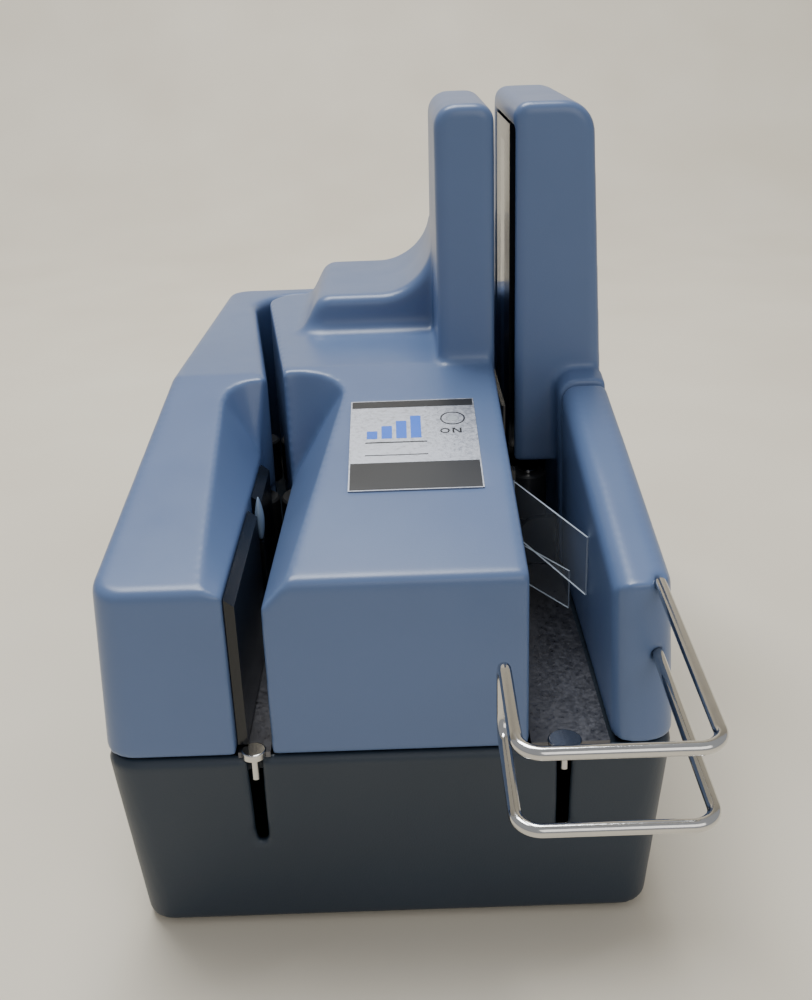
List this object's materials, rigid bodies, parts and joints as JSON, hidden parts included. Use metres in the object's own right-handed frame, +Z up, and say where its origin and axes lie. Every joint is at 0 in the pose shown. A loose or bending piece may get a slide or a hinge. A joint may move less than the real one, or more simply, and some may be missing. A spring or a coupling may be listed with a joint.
{
  "type": "cheque scanner",
  "caption": "Desktop cheque scanner with a feed slot, swing-open side covers over the track, twin sensor towers, an exit pocket and a wire stacker rack.",
  "frame": {"origin": "on the desk under the middle of the whole object's box", "axes": "+Z up, +Y from the front (slot mouths and wire rack) to the rear (inlets), +X to the right seen from the front"},
  "size_m": [0.1397, 0.2784, 0.194],
  "materials": {
    "cover_plastic": "satin",
    "base_plastic": "satin",
    "dark_plastic": "satin",
    "floor_steel": "brushed",
    "bright_steel": "polished",
    "label_metal": "satin",
    "clear_film": "gloss",
    "camera_glass": "polished",
    "pale_tip": "gloss",
    "roller_rubber": "matte",
    "idler_plastic": "satin",
    "bush_brass": "machined",
    "motor_paint": "satin",
    "board_green": "gloss"
  },
  "bodies": {
    "root": {"base_tub": "base_plastic", "rubber_feet": "roller_rubber", "deck_plate": "base_plastic", "chassis_screws": "bright_steel", "centre_cover": "cover_plastic", "label_plate": "label_metal", "light_pipe": "pale_tip", "hopper_floor": "floor_steel", "pocket_floor": "floor_steel", "front_studs": "bright_steel", "pocket_wall": "cover_plastic", "wire_rack": "bright_steel", "inner_guide": "dark_plastic", "exit_cheek": "dark_plastic", "flap_bracket": "dark_plastic", "front_camera": "dark_plastic", "front_camera_glass": "camera_glass", "hinge_pins": "bright_steel", "shaft_bushes": "bush_brass", "drive_belt": "roller_rubber", "motor_body": "motor_paint", "head_bracket": "floor_steel", "magnetic_head": "bright_steel", "ink_cradle": "dark_plastic", "ink_cartridge": "idler_plastic", "main_board": "board_green", "power_jack": "dark_plastic", "data_socket": "bright_steel", "latch_magnets": "bright_steel"},
    "left_wing": {"left_cover": "cover_plastic", "left_liner": "dark_plastic", "left_frame": "floor_steel", "left_screws": "bright_steel", "left_pins": "bright_steel"},
    "right_wing": {"right_cover": "cover_plastic", "right_liner": "dark_plastic", "right_frame": "floor_steel", "right_screws": "bright_steel", "right_pins": "bright_steel", "rear_camera": "dark_plastic", "rear_camera_glass": "camera_glass"},
    "pusher": {"pusher_arm": "dark_plastic", "pusher_tip": "pale_tip", "pusher_spring": "bright_steel"},
    "left_idler": {"left_idler": "idler_plastic"},
    "separator": {"separator_roller": "roller_rubber"},
    "rear_idler": {"rear_idler": "idler_plastic"},
    "exit_idler": {"exit_idler": "idler_plastic"},
    "upper_flap": {"upper_flap": "clear_film"},
    "lower_flap": {"lower_flap": "clear_film"},
    "feed_wheel": {"feed_shaft": "bright_steel", "feed_roller": "roller_rubber"},
    "left_drive": {"left_drive_shaft": "bright_steel", "left_drive_roller": "roller_rubber"},
    "rear_drive": {"rear_drive_shaft": "bright_steel", "rear_drive_roller": "roller_rubber"},
    "exit_drive": {"exit_drive_shaft": "bright_steel", "exit_drive_roller": "roller_rubber"},
    "motor_rotor": {"motor_shaft": "bright_steel"}
  },
  "joints": [
    {"name": "left_wing_swing", "type": "hinge", "parent": "root", "child": "left_wing", "pos_m": [-0.0082, 0.1312, 0.08], "axis": [0, 0, -1], "range_deg": [0, 40]},
    {"name": "right_wing_swing", "type": "hinge", "parent": "root", "child": "right_wing", "pos_m": [0.0082, 0.1312, 0.08], "axis": [0, 0, 1], "range_deg": [0, 40]},
    {"name": "pusher_swing", "type": "hinge", "parent": "left_wing", "child": "pusher", "pos_m": [-0.05, -0.0488, 0.0645], "axis": [0, 0, -1], "range_deg": [0, 8], "stiffness_Nm_per_rad": 0.01},
    {"name": "upper_flap_swing", "type": "hinge", "parent": "root", "child": "upper_flap", "pos_m": [0.0374, 0.0012, 0.08], "axis": [0, 0, -1], "range_deg": [0, 20], "stiffness_Nm_per_rad": 0.0005},
    {"name": "lower_flap_swing", "type": "hinge", "parent": "root", "child": "lower_flap", "pos_m": [0.0374, -0.0023, 0.066], "axis": [0, 0, -1], "range_deg": [0, 20], "stiffness_Nm_per_rad": 0.0005},
    {"name": "motor_spin", "type": "hinge", "parent": "root", "child": "motor_rotor", "pos_m": [0.003, -0.0378, 0.07], "axis": [0, 0, 1], "continuous": true},
    {"name": "feed_spin", "type": "hinge", "parent": "root", "child": "feed_wheel", "pos_m": [-0.0245, 0.0152, 0.07], "axis": [0, 0, 1], "continuous": true},
    {"name": "left_drive_spin", "type": "hinge", "parent": "root", "child": "left_drive", "pos_m": [-0.02991, 0.0672, 0.07], "axis": [0, 0, 1], "continuous": true},
    {"name": "rear_drive_spin", "type": "hinge", "parent": "root", "child": "rear_drive", "pos_m": [0.02, 0.1135, 0.07], "axis": [0, 0, 1], "continuous": true},
    {"name": "exit_drive_spin", "type": "hinge", "parent": "root", "child": "exit_drive", "pos_m": [0.0318, 0.0292, 0.07], "axis": [0, 0, 1], "continuous": true},
    {"name": "left_idler_spin", "type": "hinge", "parent": "left_wing", "child": "left_idler", "pos_m": [-0.04361, 0.0672, 0.07], "axis": [0, 0, 1], "continuous": true},
    {"name": "separator_spin", "type": "hinge", "parent": "left_wing", "child": "separator", "pos_m": [-0.0395, 0.0152, 0.07], "axis": [0, 0, 1], "continuous": true},
    {"name": "rear_idler_spin", "type": "hinge", "parent": "right_wing", "child": "rear_idler", "pos_m": [0.02, 0.1272, 0.07], "axis": [0, 0, 1], "continuous": true},
    {"name": "exit_idler_spin", "type": "hinge", "parent": "right_wing", "child": "exit_idler", "pos_m": [0.0455, 0.0292, 0.07], "axis": [0, 0, 1], "continuous": true}
  ],
  "couplings": [
    {"joint": "feed_spin", "follows": "motor_spin", "ratio": 1},
    {"joint": "left_drive_spin", "follows": "motor_spin", "ratio": 1},
    {"joint": "rear_drive_spin", "follows": "motor_spin", "ratio": 1},
    {"joint": "exit_drive_spin", "follows": "motor_spin", "ratio": 1}
  ]
}
